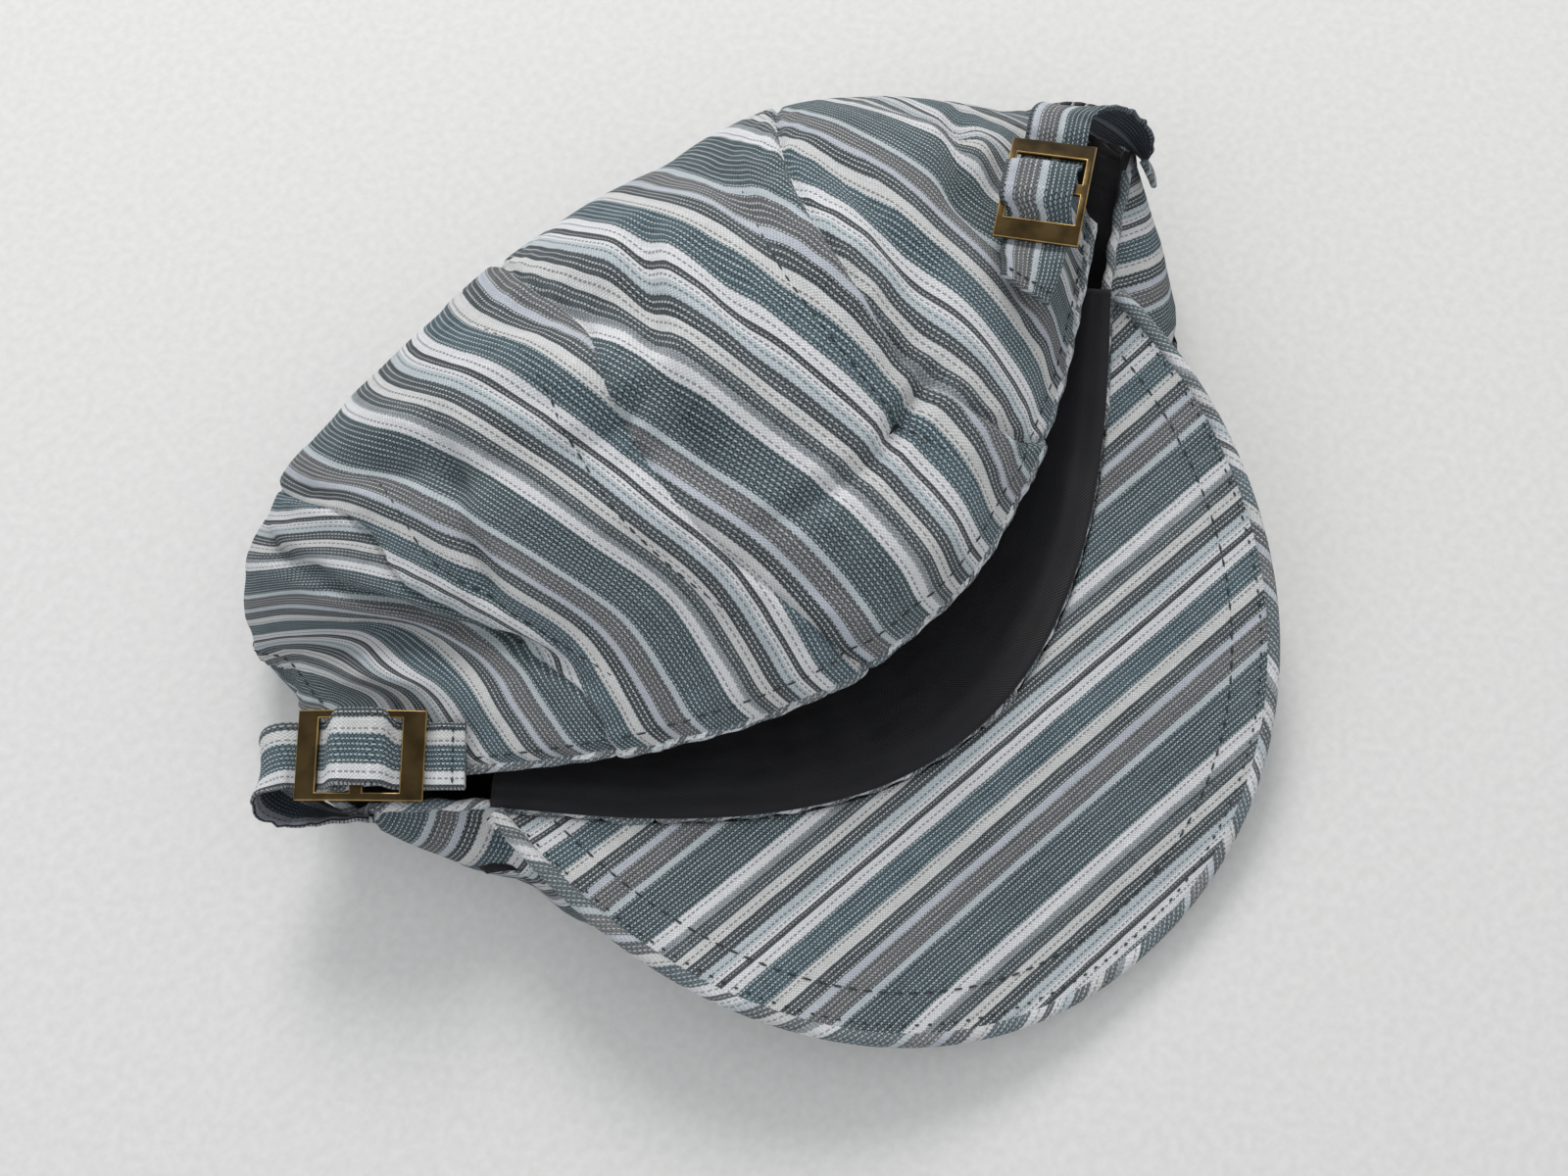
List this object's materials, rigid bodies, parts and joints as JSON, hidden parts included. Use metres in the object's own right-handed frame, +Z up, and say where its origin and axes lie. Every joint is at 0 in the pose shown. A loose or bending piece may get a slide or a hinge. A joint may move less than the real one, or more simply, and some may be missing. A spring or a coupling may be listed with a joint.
{
  "type": "striped cloth baker-boy cap",
  "caption": "Soft striped cloth cap with a panelled crown, short peak, black sweatband and buckled side straps, lying on its front with the opening up.",
  "frame": {"origin": "middle of the bounding box, at the surface that the cap lies on", "axes": "+X across the cap to its right as seen from above with the peak at the bottom, -Y towards the tip of the peak, +Z up"},
  "size_m": [0.2734, 0.2238, 0.0707],
  "materials": {
    "striped_cloth": "matte",
    "sweatband": "satin",
    "buckle": "antique"
  },
  "bodies": {
    "root": {"crown": "striped_cloth", "peak": "striped_cloth", "sweatband_front": "sweatband", "sweatband_back": "sweatband", "strap_left": "striped_cloth", "strap_right": "striped_cloth", "buckle_left": "buckle", "buckle_right": "buckle"}
  },
  "joints": []
}
